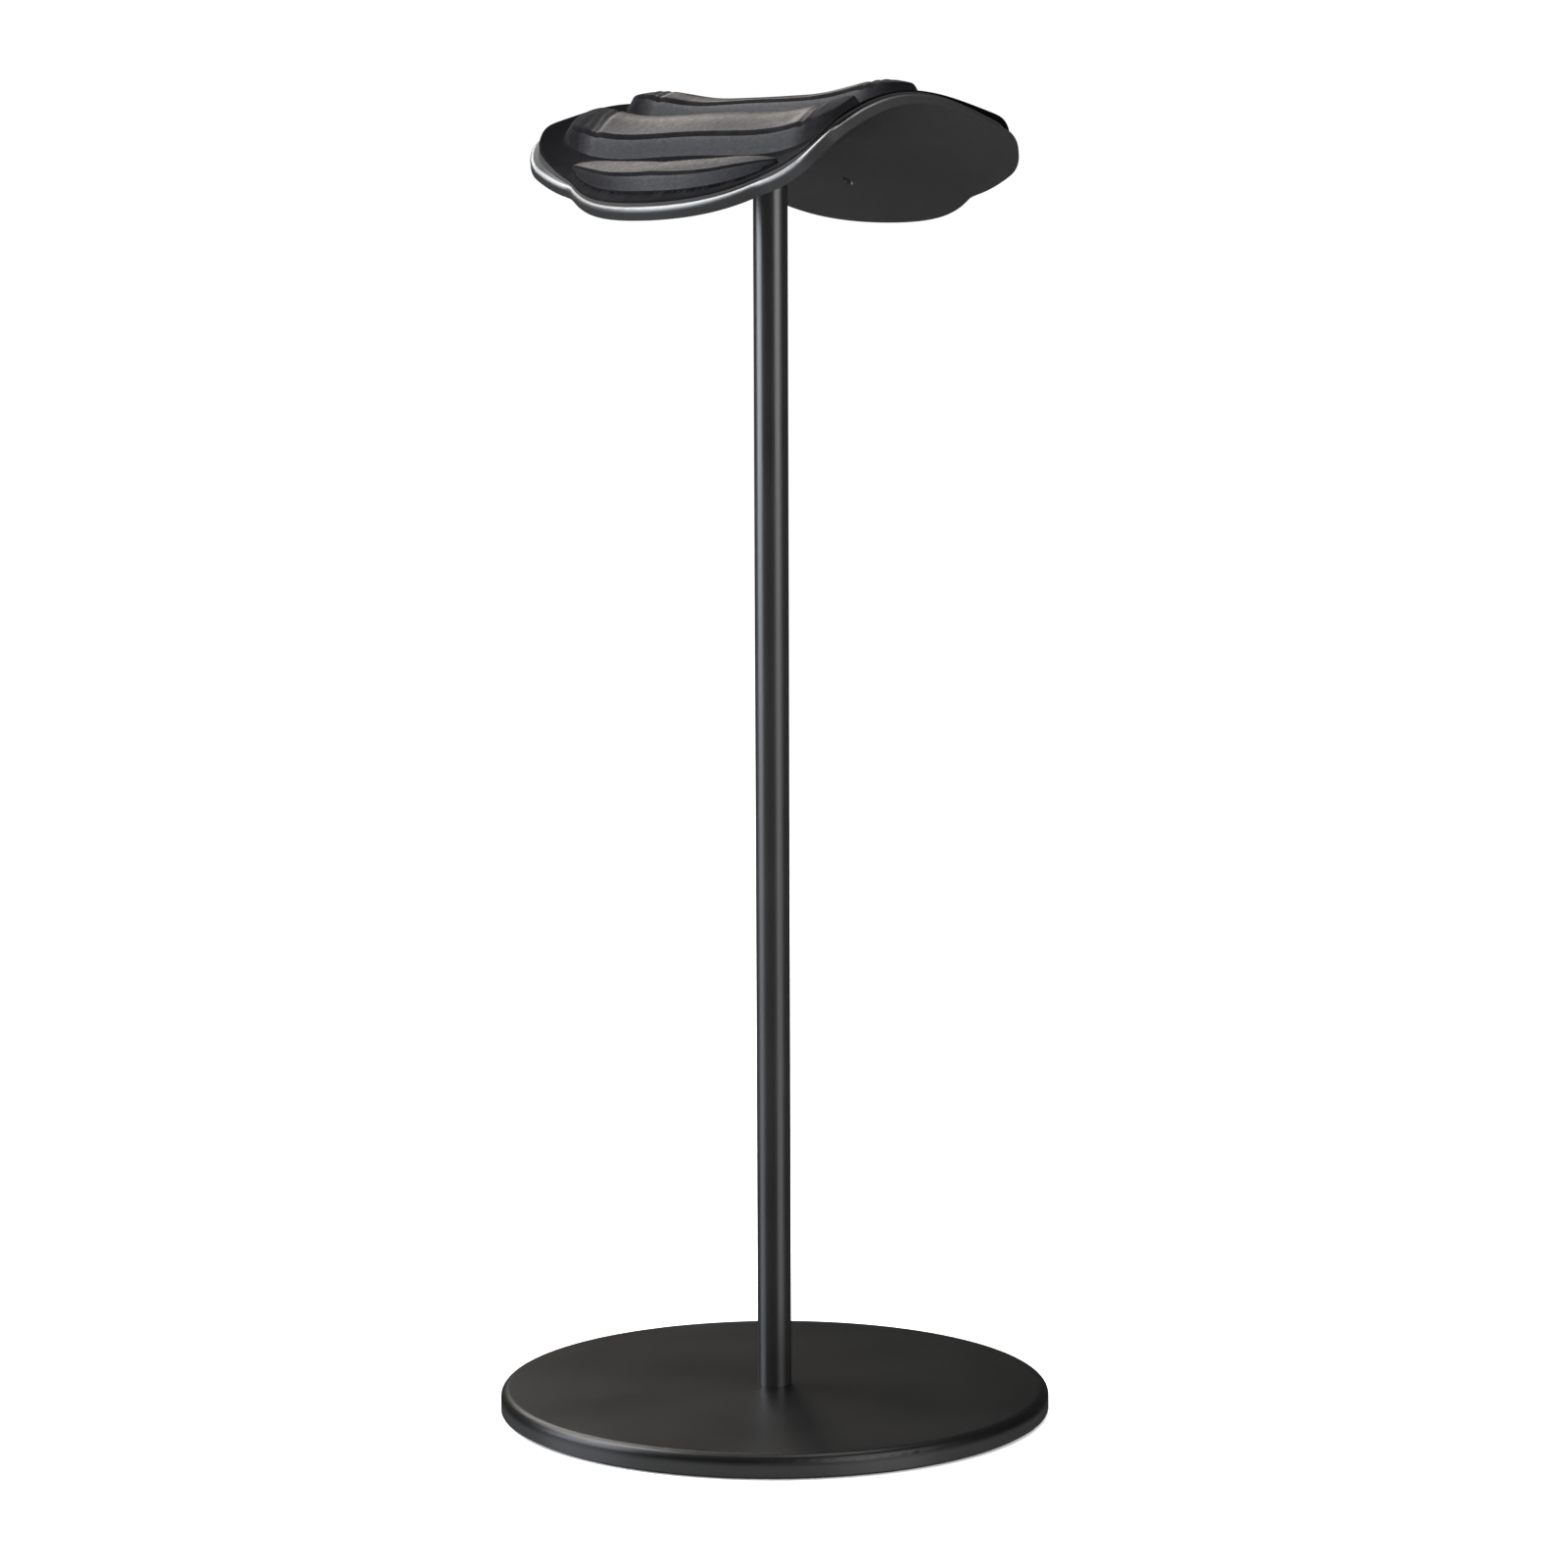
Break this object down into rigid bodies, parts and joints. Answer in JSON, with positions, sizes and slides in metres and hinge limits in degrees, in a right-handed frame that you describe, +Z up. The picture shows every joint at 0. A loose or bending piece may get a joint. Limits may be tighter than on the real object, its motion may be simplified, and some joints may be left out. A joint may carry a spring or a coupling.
{
  "type": "headphone stand",
  "caption": "Black headphone stand: round flat base, slim upright pole and a pressed saddle headrest with a ribbed padded top.",
  "frame": {"origin": "middle of the underside of the foot, on the surface that the stand rests on", "axes": "+Z up along the pole, X along the ribs of the pad, Y over the arch of the saddle, the way a headband lies across it"},
  "size_m": [0.13, 0.13, 0.3114],
  "materials": {
    "base_coat": "satin black powder coat on steel",
    "pole_coat": "satin black powder coat on steel tube",
    "saddle_coat": "satin black powder coat, matte underneath",
    "foot_rubber": "matte black non-slip sheet",
    "adhesive_film": "clear double-sided film",
    "zinc_steel": "zinc-plated",
    "backing_board": "black flexible backing sheet",
    "leathercloth": "soft black leathercloth with a fine grain and a silky sheen",
    "foam": "dark grey foam"
  },
  "bodies": {
    "root": {"base_plate": "base_coat", "pole_tube": "pole_coat", "head_boss": "pole_coat", "headrest_plate": "saddle_coat", "foot_pad": "foot_rubber", "foot_adhesive": "adhesive_film", "pad_adhesive": "adhesive_film", "base_screw": "zinc_steel", "lower_insert": "zinc_steel", "upper_insert": "zinc_steel", "head_stud": "zinc_steel", "pad_backing": "backing_board", "pad_cover": "leathercloth", "rib_foam_1": "foam", "rib_foam_2": "foam", "rib_foam_3": "foam", "rib_foam_4": "foam", "rib_foam_5": "foam"}
  },
  "joints": []
}
